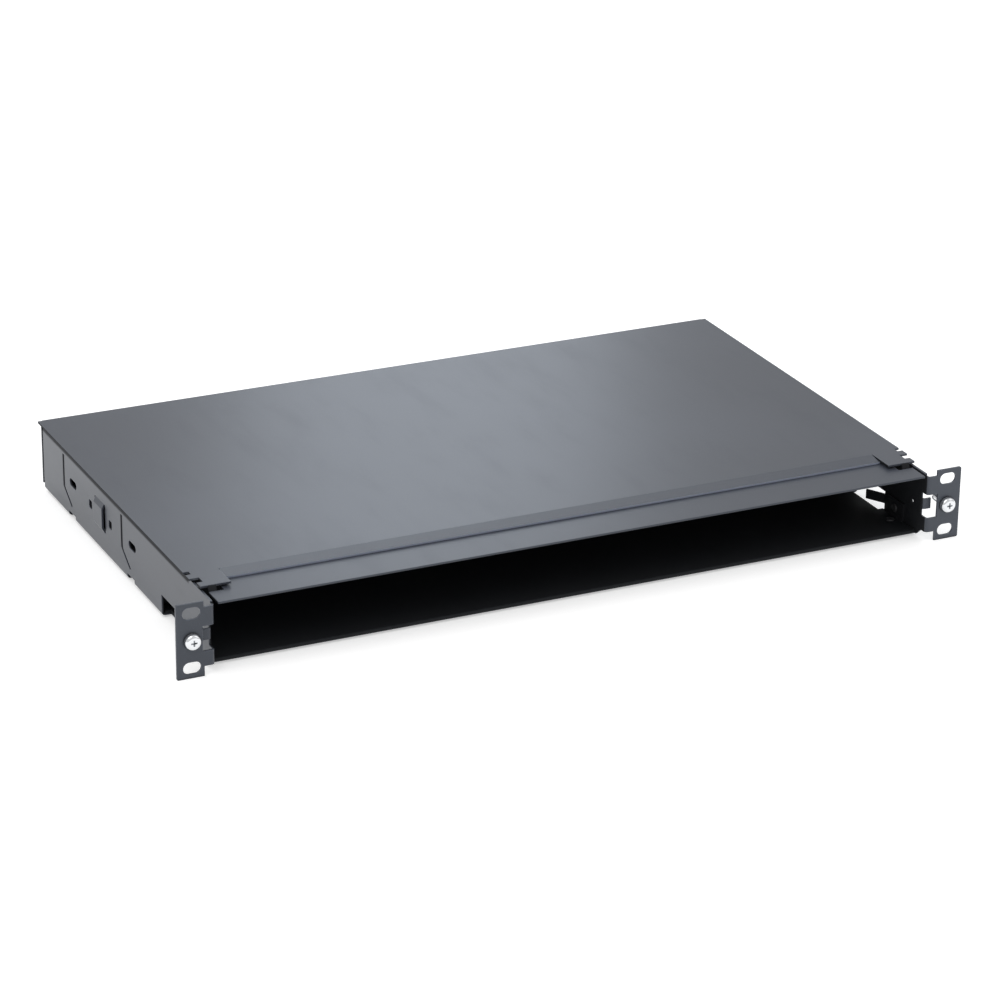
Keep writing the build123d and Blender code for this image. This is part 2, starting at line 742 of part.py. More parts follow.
for name, (x, y) in zip(("left_spool", "right_spool"), spool_places):
    with BuildPart() as placed_spool:
        with Locations((x, y, floor)):
            add(spool.part)
    pieces[name] = placed_spool

# Tie brackets: an angle with T-shaped heads that cable ties hook behind
for name, side in (("left_tie_bracket", -1), ("right_tie_bracket", 1)):
    with BuildPart() as tie_bracket:
        with BuildSketch(side_view(side * bracket_x - bracket_width / 2)):
            with BuildLine():
                FilletPolyline(
                    (bracket_y - bracket_depth / 2 - sheet, floor + sheet / 2),
                    (bracket_y + bracket_depth / 2, floor + sheet / 2),
                    (bracket_y + bracket_depth / 2, bracket_top),
                    radius=bend_mid,
                )
            trace(line_width=sheet)
        extrude(amount=bracket_width)
        with BuildSketch(front_view(bracket_y)):
            with Locations((side * bracket_x, bracket_top)):
                Rectangle(bracket_width + 2, tie_notch_depth, align=(Align.CENTER, Align.MAX))
            for x in entry_places:
                with Locations((side * x, bracket_top)):
                    Rectangle(tie_neck_width, tie_notch_depth, align=(Align.CENTER, Align.MAX), mode=Mode.SUBTRACT)
                    Rectangle(tie_head_width, tie_head_height, align=(Align.CENTER, Align.MAX), mode=Mode.SUBTRACT)
        extrude(amount=-bracket_depth, mode=Mode.SUBTRACT)
        with BuildSketch(Plane.XY.offset(floor - 1)):
            with Locations(*[place for place in bracket_rivet_places if place[0] * side > 0]):
                Circle(rivet_r + touch)
        extrude(amount=sheet + 2, mode=Mode.SUBTRACT)
    pieces[name] = tie_bracket


def rivet_shape(grip, flush):
    """A set rivet along +Z through the grip: its head at z = 0, domed or flush, and its tail beyond."""
    with BuildPart() as rivet:
        Cylinder(rivet_r, grip, align=(Align.CENTER, Align.CENTER, Align.MIN))
        if flush:
            cone_height = (flush_head_r - rivet_r) / tan(radians(flush_angle / 2))
            Cone(flush_head_r, rivet_r, cone_height, align=(Align.CENTER, Align.CENTER, Align.MIN))
        else:
            Cylinder(rivet_head_r, rivet_dome, align=(Align.CENTER, Align.CENTER, Align.MAX))
            fillet(rivet.edges().group_by(Axis.Z)[0], radius=0.8 * rivet_dome)
        with Locations((0, 0, grip)):
            Cylinder(0.85 * rivet_head_r, rivet_dome, align=(Align.CENTER, Align.CENTER, Align.MIN))
        fillet(rivet.edges().group_by(Axis.Z)[-1], radius=0.6 * rivet_dome)
    return rivet.part


# Rivets through the floor, flush where the enclosure stands on them
with BuildPart() as floor_rivets:
    with Locations(*[(x, y, body_bottom) for x, y in floor_rivet_places]):
        add(rivet_shape(2 * sheet, flush=True))
pieces["floor_rivets"] = floor_rivets

with BuildPart() as rear_floor_rivets:
    with Locations(*[(x, y, pan_bottom) for x, y in rear_floor_rivet_places]):
        add(rivet_shape(2 * sheet, flush=False))
pieces["rear_floor_rivets"] = rear_floor_rivets

with BuildPart() as bulkhead_rivets:
    with Locations(*[(x, y, pan_bottom) for x, y in bulkhead_rivet_places]):
        add(rivet_shape(2 * sheet, flush=False))
pieces["bulkhead_rivets"] = bulkhead_rivets

with BuildPart() as tie_bracket_rivets:
    with Locations(*[(x, y, pan_bottom) for x, y in bracket_rivet_places]):
        add(rivet_shape(2 * sheet, flush=False))
pieces["tie_bracket_rivets"] = tie_bracket_rivets

# Rivets through the walls and the floor's upturned tabs, and through the rear flanges
with BuildPart() as pan_tab_rivets:
    for side in (-1, 1):
        with Locations(Plane((side * wall_out, pan_tab_y, pan_tab_rivet_z), x_dir=(0, 1, 0), z_dir=(-side, 0, 0))):
            add(rivet_shape(2 * sheet, flush=False))
pieces["pan_tab_rivets"] = pan_tab_rivets

with BuildPart() as rear_rivets:
    with Locations(*[Plane((x, rear_face, z), x_dir=(1, 0, 0), z_dir=(0, -1, 0)) for x, z in rear_rivet_places]):
        add(rivet_shape(2 * sheet, flush=False))
pieces["rear_rivets"] = rear_rivets

# Flush rivets that hold the front rail's lugs under the side plates' top flanges
with BuildPart() as rail_rivets:
    with Locations(*[Plane((x, y, flange_top), z_dir=(0, 0, -1)) for x, y in rail_rivet_places]):
        add(rivet_shape(2 * sheet, flush=True))
pieces["rail_rivets"] = rail_rivets


def pan_head_screw(shank_r, length, head_r, head_height):
    """A screw along +Z, its pan head above z = 0 with a cross recess, its shank below."""
    with BuildPart() as screw:
        Cylinder(shank_r, length, align=(Align.CENTER, Align.CENTER, Align.MAX))
        Cylinder(head_r, head_height, align=(Align.CENTER, Align.CENTER, Align.MIN))
        fillet(screw.edges().group_by(Axis.Z)[-1], radius=head_height * 0.6)
        chamfer(screw.edges().group_by(Axis.Z)[0], length=shank_r * 0.3)
        with Locations((0, 0, head_height)):
            Box(recess_width, head_r * 1.1, head_height, mode=Mode.SUBTRACT)
            Box(head_r * 1.1, recess_width, head_height, mode=Mode.SUBTRACT)
    return screw.part


# Cover screws, which stay in the rear panel, drawn back a little so that the cover lifts off them
with BuildPart() as cover_screws:
    with Locations(
        *[Plane((x, cover_rear + gap, cover_screw_z), x_dir=(1, 0, 0), z_dir=(0, 1, 0)) for x in cover_screw_places]
    ):
        add(pan_head_screw(cover_screw_r, cover_screw_length, cover_screw_head_r, cover_screw_head))
pieces["cover_screws"] = cover_screws

with BuildPart() as cover_nuts:
    with BuildSketch(front_view(wall_rear - cover_nut_depth)):
        with Locations(*[(x, cover_screw_z) for x in cover_screw_places]):
            Circle(cover_nut_r)
            Circle(cover_screw_r + touch, mode=Mode.SUBTRACT)
    extrude(amount=-cover_nut_depth)
    with BuildSketch(front_view(wall_rear)):
        with Locations(*[(x, cover_screw_z) for x in cover_screw_places]):
            Circle(cover_nut_neck_r)
            Circle(cover_screw_r + touch, mode=Mode.SUBTRACT)
    extrude(amount=-sheet)
pieces["cover_nuts"] = cover_nuts

with BuildPart() as spool_screws:
    with Locations(*[(x, y, floor + spool_boss_height) for x, y in spool_places]):
        add(
            pan_head_screw(
                spool_screw_r, spool_boss_height + sheet + rivet_dome, spool_screw_head_r, spool_screw_head
            )
        )
pieces["spool_screws"] = spool_screws

# Captive rack screws, each kept in its ear by a washer pressed on behind
for hand, side in (("left", -1), ("right", 1)):
    with BuildPart() as rack_screw:
        with Locations(
            Plane((side * slot_pitch_x / 2, ear_front - gap, 0), x_dir=(1, 0, 0), z_dir=(0, -1, 0))
        ):
            add(pan_head_screw(rack_screw_r, rack_screw_length - ear_front + gap, rack_screw_head_r, rack_screw_head))
        # a thin neck, behind which the washer keeps the screw in the ear
        with BuildSketch(front_view(ear_front - gap)):
            with Locations((side * slot_pitch_x / 2, 0)):
                Circle(2 * rack_screw_r)
                Circle(rack_screw_neck_r, mode=Mode.SUBTRACT)
        extrude(amount=-(rack_screw_neck - ear_front + gap), mode=Mode.SUBTRACT)
    pieces[f"{hand}_rack_screw"] = rack_screw
    with BuildPart() as retaining_washer:
        with BuildSketch(front_view(gap)):
            with Locations((side * slot_pitch_x / 2, 0)):
                Circle(washer_r)
                Circle(rack_screw_neck_r + touch / 5, mode=Mode.SUBTRACT)
        extrude(amount=-washer_thickness)
    pieces[f"{hand}_retaining_washer"] = retaining_washer

# Ground stud, washer and nut on the rear panel
with BuildPart() as ground_stud:
    with Locations(Plane((ground_x, wall_rear, ground_z), x_dir=(1, 0, 0), z_dir=(0, 1, 0))):
        Cylinder(ground_head_r, ground_head, align=(Align.CENTER, Align.CENTER, Align.MAX))
        Cylinder(ground_r, sheet + ground_length, align=(Align.CENTER, Align.CENTER, Align.MIN))
    chamfer(ground_stud.edges().group_by(Axis.Y)[-1], length=0.6)
pieces["ground_stud"] = ground_stud

with BuildPart() as ground_washer_ring:
    with BuildSketch(front_view(rear_face)):
        with Locations((ground_x, ground_z)):
            Circle(ground_washer_r)
            Circle(ground_r + touch, mode=Mode.SUBTRACT)
    extrude(amount=-ground_washer)
pieces["ground_washer"] = ground_washer_ring

with BuildPart() as ground_nut_hex:
    with BuildSketch(front_view(rear_face + ground_washer)):
        with Locations((ground_x, ground_z)):
            RegularPolygon(ground_nut_r, 6)
            Circle(ground_r + touch, mode=Mode.SUBTRACT)
    extrude(amount=-ground_nut)
pieces["ground_nut"] = ground_nut_hex

for name, piece in pieces.items():
    piece.part.label = name
    export_step(piece.part, f"parts/{name}.step")
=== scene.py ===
# Rack fibre patch panel, dressed for rendering: folded sheet in black powder coat,
# bright zinc screws, black plastic and rubber, on a pale studio floor.
import json
from math import cos, pi, radians, sin, tau

import bmesh
import bpy
from mathutils import Matrix, Vector


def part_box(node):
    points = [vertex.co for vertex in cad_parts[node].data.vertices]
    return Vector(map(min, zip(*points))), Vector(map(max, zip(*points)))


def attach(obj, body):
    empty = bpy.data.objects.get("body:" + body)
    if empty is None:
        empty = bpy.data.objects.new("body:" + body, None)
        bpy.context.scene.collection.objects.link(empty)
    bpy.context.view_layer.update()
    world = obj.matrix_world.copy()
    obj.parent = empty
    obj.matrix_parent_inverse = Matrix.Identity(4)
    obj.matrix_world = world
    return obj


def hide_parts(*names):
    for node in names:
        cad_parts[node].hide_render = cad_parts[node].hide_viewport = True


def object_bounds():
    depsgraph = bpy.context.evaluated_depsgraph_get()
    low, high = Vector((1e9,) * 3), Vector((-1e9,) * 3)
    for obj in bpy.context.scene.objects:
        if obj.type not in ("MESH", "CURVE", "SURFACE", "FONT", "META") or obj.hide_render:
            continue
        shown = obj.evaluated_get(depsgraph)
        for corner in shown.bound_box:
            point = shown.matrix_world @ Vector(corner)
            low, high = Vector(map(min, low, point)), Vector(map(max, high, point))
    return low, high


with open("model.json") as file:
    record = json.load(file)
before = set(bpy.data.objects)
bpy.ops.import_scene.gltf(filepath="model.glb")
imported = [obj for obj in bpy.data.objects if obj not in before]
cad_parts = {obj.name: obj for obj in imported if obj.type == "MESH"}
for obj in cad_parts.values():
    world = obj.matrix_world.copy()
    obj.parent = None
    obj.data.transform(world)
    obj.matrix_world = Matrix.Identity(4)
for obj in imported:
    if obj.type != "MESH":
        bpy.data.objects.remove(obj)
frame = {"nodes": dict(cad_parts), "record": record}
cad_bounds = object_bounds()

bl_info = {
    "name": "Rack Patch Panel",
    "version": (1, 0, 0),
    "blender": (4, 5, 0),
    "location": "View3D > Sidebar > Patch Panel",
    "description": "Dresses an open-front fibre patch panel for a 19-inch rack",
    "category": "Add Mesh",
}

MM = 0.001
NODES = frame["nodes"]
ROWS = frame["record"]["subparts"]
FRONT, REAR, UP = (0, -1, 0), (0, 1, 0), (0, 0, 1)
SHEET = 1.2  # thickness of the folded steel, in millimetres


def middle(node):
    """The middle of a node's box, in metres."""
    low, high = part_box(node)
    return (Vector(low) + Vector(high)) / 2


# Shader maths

class Channel:
    """A shader socket that adds, subtracts and multiplies as a number does."""

    def __init__(self, tree, socket):
        self.tree = tree
        self.socket = socket

    def math(self, operation, other, swapped=False, clamp=False):
        """One Math node on this channel and a number or another channel."""
        first, second = (other, self) if swapped else (self, other)
        settings = {"operation": operation, "use_clamp": clamp}
        return self.tree.node("ShaderNodeMath", settings, {0: first, 1: second})

    def __add__(self, other):
        return self.math("ADD", other)

    __radd__ = __add__

    def __sub__(self, other):
        return self.math("SUBTRACT", other)

    def __rsub__(self, other):
        return self.math("SUBTRACT", other, swapped=True)

    def __mul__(self, other):
        return self.math("MULTIPLY", other)

    __rmul__ = __mul__

    def __lt__(self, other):
        return self.math("LESS_THAN", other)

    def __gt__(self, other):
        return self.math("GREATER_THAN", other)

    def __abs__(self):
        return self.math("ABSOLUTE", 0.0)

    def most(self, other):
        """The larger of this channel and the other."""
        return self.math("MAXIMUM", other)

    def between(self, low, high):
        """0 before low, 1 past high and smooth from one to the other."""
        sockets = {"Value": self, "From Min": low, "From Max": high}
        return self.tree.node("ShaderNodeMapRange", {"interpolation_type": "SMOOTHSTEP"}, sockets)


class Finish:
    """The node tree of a material or of the world, built one node at a time."""

    def __init__(self, name, kind="materials"):
        self.material = getattr(bpy.data, kind).new(name)
        self.material.use_nodes = True
        self.nodes = self.material.node_tree.nodes
        self.links = self.material.node_tree.links
        self.nodes.clear()

    def node(self, kind, settings=None, sockets=None, output=0):
        """Adds a node with its settings first, then its sockets' values and links."""
        made = self.nodes.new(kind)
        for key, value in (settings or {}).items():
            setattr(made, key, value)
        for key, value in (sockets or {}).items():
            if isinstance(value, Channel):
                self.links.new(value.socket, made.inputs[key])
            else:
                made.inputs[key].default_value = value
        return Channel(self, made.outputs[output]) if made.outputs else None

    def place(self, scale=(1, 1, 1)):
        """The point on the piece, in metres in the piece's own frame, stretched by scale."""
        point = self.node("ShaderNodeTexCoord", output="Object")
        return self.node("ShaderNodeMapping", {"vector_type": "POINT"}, {"Vector": point, "Scale": scale})

    def along(self, vector, axis):
        """One of a vector's three numbers."""
        return self.node("ShaderNodeSeparateXYZ", {}, {0: vector}, output="XYZ".index(axis))

    def noise(self, scale, detail=2.0, roughness=0.5, stretch=(1, 1, 1)):
        """Cloudy noise with about this many patches a metre, from 0 to 1."""
        sockets = {"Vector": self.place(stretch), "Scale": scale, "Detail": detail, "Roughness": roughness}
        return self.node("ShaderNodeTexNoise", {"noise_dimensions": "3D"}, sockets)

    def mix(self, factor, first, second):
        """The first colour where the factor is 0, the second where it is 1."""
        return self.node("ShaderNodeMix", {"data_type": "RGBA"}, {0: factor, 6: first, 7: second}, output=2)

    def bump(self, height, distance, strength=1.0, normal=None):
        """A normal from a height between 0 and 1 that stands this many metres high."""
        sockets = {"Height": height, "Distance": distance, "Strength": strength}
        if normal:
            sockets["Normal"] = normal
        return self.node("ShaderNodeBump", {}, sockets)

    def rounded(self, radius):
        """The normal that a small round on every edge would give."""
        return self.node("ShaderNodeBevel", {"samples": 4}, {"Radius": radius})

    def edges(self, radius):
        """Near 1 on edges and corners within this radius, and 0 on flat sheet."""
        flat = self.node("ShaderNodeNewGeometry", output="Normal")
        sockets = {0: self.rounded(radius), 1: flat}
        likeness = self.node("ShaderNodeVectorMath", {"operation": "DOT_PRODUCT"}, sockets, output=1)
        return (1 - likeness).between(0.02, 0.3)

    def creases(self, distance):
        """Near 1 in corners and gaps that are closed in within this distance, and 0 in the open."""
        sockets = {"Distance": distance}
        openness = self.node("ShaderNodeAmbientOcclusion", {"samples": 8}, sockets, output="AO")
        return 1 - openness.between(0.40, 0.80)

    def principled(self, **sockets):
        """The Principled shader, with sockets by name, spaces written as underscores."""
        named = {key.replace("_", " "): value for key, value in sockets.items()}
        return self.node("ShaderNodeBsdfPrincipled", {}, named)

    def layered(self, factor, first, second):
        """The first shader where the factor is 0, the second where it is 1."""
        return self.node("ShaderNodeMixShader", {}, {0: factor, 1: first, 2: second})

    def done(self, shader, output="ShaderNodeOutputMaterial"):
        """Links the finished shader to the output and returns the material."""
        self.node(output, {}, {"Surface": shader})
        return self.material


def rgba(colour, times=1.0, plus=0.0):
    """A colour with an alpha of 1, made lighter or darker."""
    return (*(min(1.0, times * channel + plus) for channel in colour), 1.0)


def boxed_in(settings, aside, depth, height):
    """1 inside the enclosure, where shade is painted as the dark dull coat, and 0 on its outside."""
    low, high = settings.inner_height
    inside = (aside < settings.inner_half_width) * (depth > settings.inner_front)
    return inside * (depth < settings.inner_rear) * (height > low) * (height < high)


def lid_shade(coat, settings, facing, aside, depth):
    """Painted shade: near 1 on the cover's cut side edges and on the tongues at its corners."""
    cut_edge_shade = abs(coat.along(facing, "X")).between(0.6, 0.8) * settings.shade
    return cut_edge_shade.most((aside > settings.corner_start) * (depth < settings.tongue_shade_front))


def wall_shade(settings, aside, depth, height):
    """Painted shadow: near 1 on the outside of the walls just under the cover's edge and along the hooked
    slits.
    """
    outer = (aside > settings.inner_half_width) * (depth > settings.cover_front)
    lowest, highest = settings.shaded_height
    shade = outer * height.between(lowest, highest) * settings.shade
    end, bend, top = settings.slit_height
    sway = (bend - height).math("DIVIDE", bend - end, clamp=True) * settings.slit_run
    for slit in settings.slit_depths:
        # Painted shadow along each slit, leaning with the slit's lower run
        groove = abs(depth + sway - slit).between(settings.slit_reach, 0.5 * settings.slit_reach)
        shade = shade.most(outer * groove * (height > end) * (height < top) * settings.slit_shade)
    return shade


def powder_coat(name, settings, crease_shade_depth, shine=1.52, lid=False):
    """Satin powder coat: orange peel, cloudy marks, dust, rubbed edges; painted shade as a dark dull coat
    inside the enclosure, in creases, on the cover's cut edges and tongues, under the cover's edge and along
    the slits; painted light on the cover's front edge.
    """
    coat = Finish(name)
    colour, inner = tuple(settings.colour), tuple(settings.inside_shade_colour)
    dusty = rgba(colour, 3.2, 0.02)
    peel = coat.noise(1100, detail=2.0) * 0.7 + coat.noise(3200, detail=1.0) * 0.3
    clouds = coat.noise(7, detail=3.0, roughness=0.5)
    rubs = coat.noise(60, detail=5.0, roughness=0.65, stretch=(1, 0.25, 1))
    specks = coat.noise(2600, detail=0.0).between(0.72, 0.82)
    edge = coat.edges(0.7 * MM)
    tone = coat.mix(clouds.between(0.35, 0.75) * 0.35, rgba(colour), rgba(colour, 1.5, 0.004))
    tone = coat.mix(specks * 0.3, tone, dusty)
    tone = coat.mix(edge * (0.30 + 0.60 * rubs), tone, dusty)
    point = coat.place()
    aside, depth, height = abs(coat.along(point, "X")), coat.along(point, "Y"), coat.along(point, "Z")
    # Painted shade: inside the enclosure the coat turns to the dark dull shader
    painted_shade = boxed_in(settings, aside, depth, height)
    # Painted shade in creases: ambient occlusion within the crease width turns the coat dark and dull
    painted_shade = painted_shade.most(coat.creases(settings.crease_shade_width) * crease_shade_depth)
    if lid:
        facing = coat.node("ShaderNodeTexCoord", output="Normal")
        # Painted light: the cover's front cut edge is made far lighter, as if lit from the front
        front_edge_light = coat.along(facing, "Y").between(-0.80, -0.95) * (aside < settings.corner_start)
        tone = coat.mix(front_edge_light, tone, rgba(colour, 7.0, 0.03))
        painted_shade = painted_shade.most(lid_shade(coat, settings, facing, aside, depth))
    else:
        painted_shade = painted_shade.most(wall_shade(settings, aside, depth, height))
    outside = coat.principled(
        Base_Color=tone,
        Roughness=settings.gloss + 0.02 * clouds + 0.03 * rubs.between(0.45, 0.75) - 0.05 * edge,
        Normal=coat.bump(peel, 0.018 * MM, 0.5, coat.rounded(0.35 * MM)),
        IOR=shine,
        Specular_Tint=(0.90, 0.95, 1.0, 1.0),
    )
    # The dark dull shader that paints the shade inside and in creases, gaps and slits
    dull = coat.principled(
        Base_Color=coat.mix(rubs * 0.5, rgba(inner), rgba(inner, 1.8)),
        Roughness=0.58 + 0.14 * clouds,
        Normal=coat.bump(peel, 0.03 * MM, 0.5),
        IOR=1.22,
    )
    return coat.done(coat.layered(painted_shade, outside, dull))


def zinc_plate(name, colour):
    """Bright zinc over turned steel: fine streaks, faint clouding, and painted shade in the recesses."""
    plate = Finish(name)
    streaks = plate.noise(900, detail=3.0, stretch=(1, 0.15, 1))
    clouds = plate.noise(220, detail=3.0)
    tone = plate.mix(clouds.between(0.45, 0.75) * 0.5, rgba(colour), rgba(colour, 0.66))
    # Painted shade: recesses such as the cross recess are darkened to a tenth of the colour
    tone = plate.mix(plate.creases(1.2 * MM) * 0.85, tone, rgba(colour, 0.10))
    return plate.done(plate.principled(
        Base_Color=tone,
        Metallic=1.0,
        Roughness=0.20 + 0.16 * streaks + 0.10 * clouds,
        Normal=plate.bump(streaks, 0.01 * MM, 0.5),
    ))


def dark_steel(name, colour):
    """Rivets set before coating: the coat is thin on them, with steel showing on the crowns."""
    steel = Finish(name)
    clouds = steel.noise(420, detail=4.0)
    return steel.done(steel.principled(
        Base_Color=steel.mix(clouds.between(0.5, 0.8) * 0.5, rgba(colour), rgba(colour, 4.0)),
        Metallic=0.4,
        Roughness=0.36 + 0.2 * clouds,
        Normal=steel.bump(clouds, 0.02 * MM, 0.4),
    ))


def moulded_plastic(name, colour):
    """Black moulded plastic with a fine spark-eroded grain and slow sheen changes."""
    plastic = Finish(name)
    grain = plastic.noise(2400, detail=2.0)
    flow = plastic.noise(25, detail=3.0, stretch=(1, 1, 0.3))
    edge = plastic.edges(0.6 * MM)
    tone = plastic.mix(flow * 0.6, rgba(colour), rgba(colour, 1.8, 0.004))
    return plastic.done(plastic.principled(
        Base_Color=plastic.mix(edge * 0.4, tone, rgba(colour, 3.0, 0.01)),
        Roughness=0.46 + 0.14 * grain - 0.08 * edge,
        Normal=plastic.bump(grain, 0.03 * MM, 0.6, plastic.rounded(0.4 * MM)),
    ))


def rubber(name, colour):
    """Matte rubber with bloom in patches and a slightly rough skin."""
    skin = Finish(name)
    grain = skin.noise(1800, detail=3.0)
    bloom = skin.noise(140, detail=4.0)
    return skin.done(skin.principled(
        Base_Color=skin.mix(bloom.between(0.5, 0.8) * 0.5, rgba(colour), rgba(colour, 2.6, 0.01)),
        Roughness=0.68 + 0.14 * grain,
        Normal=skin.bump(grain, 0.04 * MM, 0.6),
    ))


FINISHES = {
    "black_plastic": (moulded_plastic, (0.020, 0.020, 0.022)),
    "rubber": (rubber, (0.016, 0.016, 0.017)),
    "blackened_steel": (dark_steel, (0.030, 0.032, 0.036)),
    "bright_zinc": (zinc_plate, (0.80, 0.81, 0.83)),
}


def finish(slot):
    """The material of a slot, made once."""
    make, colour = FINISHES[slot]
    return bpy.data.materials.get(slot) or make(slot, colour)


def dress(node, material):
    """Gives a CAD node its material."""
    mesh = NODES[node].data
    mesh.materials.clear()
    mesh.materials.append(material)


# Pieces in mesh code: each is made about the Z axis in millimetres, then stood in its place

def turn(bm, profile, closed=False, steps=40):
    """Turns a profile of (radius, height) points about the Z axis."""
    verts = [bm.verts.new((radius, 0, height)) for radius, height in profile]
    edges = [bm.edges.new(pair) for pair in zip(verts, verts[1:])]
    if closed:
        edges.append(bm.edges.new((verts[-1], verts[0])))
    bmesh.ops.spin(
        bm, geom=verts + edges, cent=(0, 0, 0), axis=UP, angle=tau, steps=steps, use_merge=True
    )
    bmesh.ops.remove_doubles(bm, verts=bm.verts, dist=1e-4)


def arc(across, up, radius, start, end, steps=5):
    """Points of a profile on an arc about (across, up), between two angles in degrees."""
    angles = [radians(start + (end - start) * step / steps) for step in range(steps + 1)]
    return [(across + radius * cos(angle), up + radius * sin(angle)) for angle in angles]


def ring(bore, outside, thickness, soft=0.25):
    """The closed profile of a ring with rounded outer edges."""
    return [
        (bore, 0), *arc(outside - soft, soft, soft, -90, 0),
        *arc(outside - soft, thickness - soft, soft, 0, 90), (bore, thickness),
    ]


def core_of(shank, pitch):
    """The radius at the foot of a thread."""
    return shank - 0.55 * pitch


def thread(bm, shank, pitch, bottom, top, steps=20):
    """A helical ridge round the Z axis, sunk a little into its core."""
    core = core_of(shank, pitch)
    sunk = core - 0.15
    flank = 0.44 * pitch
    corners = [(sunk, 0), (core, 0), (shank, flank), (core, 2 * flank), (sunk, 2 * flank)]
    start = bm.faces.new([bm.verts.new((radius, 0, bottom + height)) for radius, height in corners])
    turns = (top - bottom - pitch) / pitch
    bmesh.ops.spin(
        bm, geom=[start, *start.edges, *start.verts], cent=(0, 0, 0), axis=UP,
        dvec=(0, 0, pitch / steps), angle=tau * turns, steps=int(turns * steps), use_merge=False,
    )


def carve(bm, cutter, operation="DIFFERENCE"):
    """Cuts the closed shape cutter out of bm, or keeps what they share, and returns the new bmesh."""
    shapes = []
    for name, source in (("blank", bm), ("cutter", cutter)):
        bmesh.ops.recalc_face_normals(source, faces=source.faces)
        mesh = bpy.data.meshes.new(name)
        source.to_mesh(mesh)
        source.free()
        shapes.append(bpy.data.objects.new(name, mesh))
        bpy.context.scene.collection.objects.link(shapes[-1])
    blank, tool = shapes
    boolean = blank.modifiers.new("cut", "BOOLEAN")
    boolean.object = tool
    boolean.operation = operation
    boolean.solver = "EXACT"
    graph = bpy.context.evaluated_depsgraph_get()
    cut = bpy.data.meshes.new_from_object(blank.evaluated_get(graph))
    result = bmesh.new()
    result.from_mesh(cut)
    bmesh.ops.dissolve_degenerate(result, dist=1e-4, edges=result.edges)
    bmesh.ops.triangulate(result, faces=[face for face in result.faces if len(face.verts) > 4])
    bmesh.ops.dissolve_degenerate(result, dist=1e-4, edges=result.edges)
    bpy.data.meshes.remove(cut)
    for shape in shapes:
        mesh = shape.data
        bpy.data.objects.remove(shape)
        bpy.data.meshes.remove(mesh)
    return result


def fin(length, width, top, depth, quarter):
    """One tapered blade of a cross recess."""
    bm = bmesh.new()
    bmesh.ops.create_cube(bm, size=1.0)
    bmesh.ops.scale(bm, vec=(length, width, 2 * depth), verts=bm.verts)
    low = [vert for vert in bm.verts if vert.co.z < 0]
    bmesh.ops.scale(bm, vec=(0.25, 0.65, 1.0), verts=low)
    bmesh.ops.translate(bm, vec=(0, 0, top), verts=bm.verts)
    turned = Matrix.Rotation(quarter * pi / 2, 3, "Z")
    bmesh.ops.rotate(bm, verts=bm.verts, cent=(0, 0, 0), matrix=turned)
    return bm


def pan_screw(head, head_height, shank, length, pitch, neck=0.0, neck_radius=None):
    """A pan-head screw, its head above z = 0 with a cross recess, its threaded shank below."""
    core = core_of(shank, pitch)
    waist = neck_radius or core
    crown = 0.55 * head_height
    rim = 0.25
    bm = bmesh.new()
    turn(bm, [
        (0, head_height),
        *arc(head - crown, head_height - crown, crown, 90, 0, steps=8),
        *arc(head - rim, rim, rim, 0, -90, steps=3),
        (waist, 0), (waist, -neck), (core, -neck - 0.3),
        (core, -length + 0.5 * core), (0.55 * core, -length), (0, -length),
    ])
    for quarter in (0, 1):
        bm = carve(bm, fin(1.25 * head, 0.26 * head, head_height, 0.62 * head_height, quarter))
    thread(bm, shank, pitch, -length + 0.3 * core, -neck - 0.2)
    return bm


def stand(bm, places, direction):
    """Scales bm to metres, turns its +Z to the direction and copies it to each place."""
    bmesh.ops.scale(bm, vec=(MM, MM, MM), verts=bm.verts)
    turned = Vector(UP).rotation_difference(Vector(direction)).to_matrix()
    bmesh.ops.rotate(bm, verts=bm.verts, cent=(0, 0, 0), matrix=turned)
    first = [*bm.verts, *bm.edges, *bm.faces]
    groups = [list(bm.verts)]
    for _ in places[1:]:
        copied = bmesh.ops.duplicate(bm, geom=first)["geom"]
        groups.append([part for part in copied if isinstance(part, bmesh.types.BMVert)])
    for group, place in zip(groups, places):
        bmesh.ops.translate(bm, vec=place, verts=group)


def piece_from(bm, name, slot, body, *nodes):
    """Makes the bmesh an object that rides on a body and stands for the named CAD nodes."""
    bmesh.ops.recalc_face_normals(bm, faces=bm.faces)
    mesh = bpy.data.meshes.new(name)
    bm.to_mesh(mesh)
    bm.free()
    mesh.materials.append(finish(slot))
    piece = bpy.data.objects.new(name, mesh)
    bpy.context.scene.collection.objects.link(piece)
    mesh.shade_smooth()
    mesh.set_sharp_from_angle(angle=radians(35))
    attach(piece, body)
    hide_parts(*nodes)


# Settings

def measure(name, description, default):
    """A length that a user may change, its default in millimetres."""
    return bpy.props.FloatProperty(
        name=name, description=description, default=default * MM, min=0, subtype="DISTANCE", unit="LENGTH"
    )


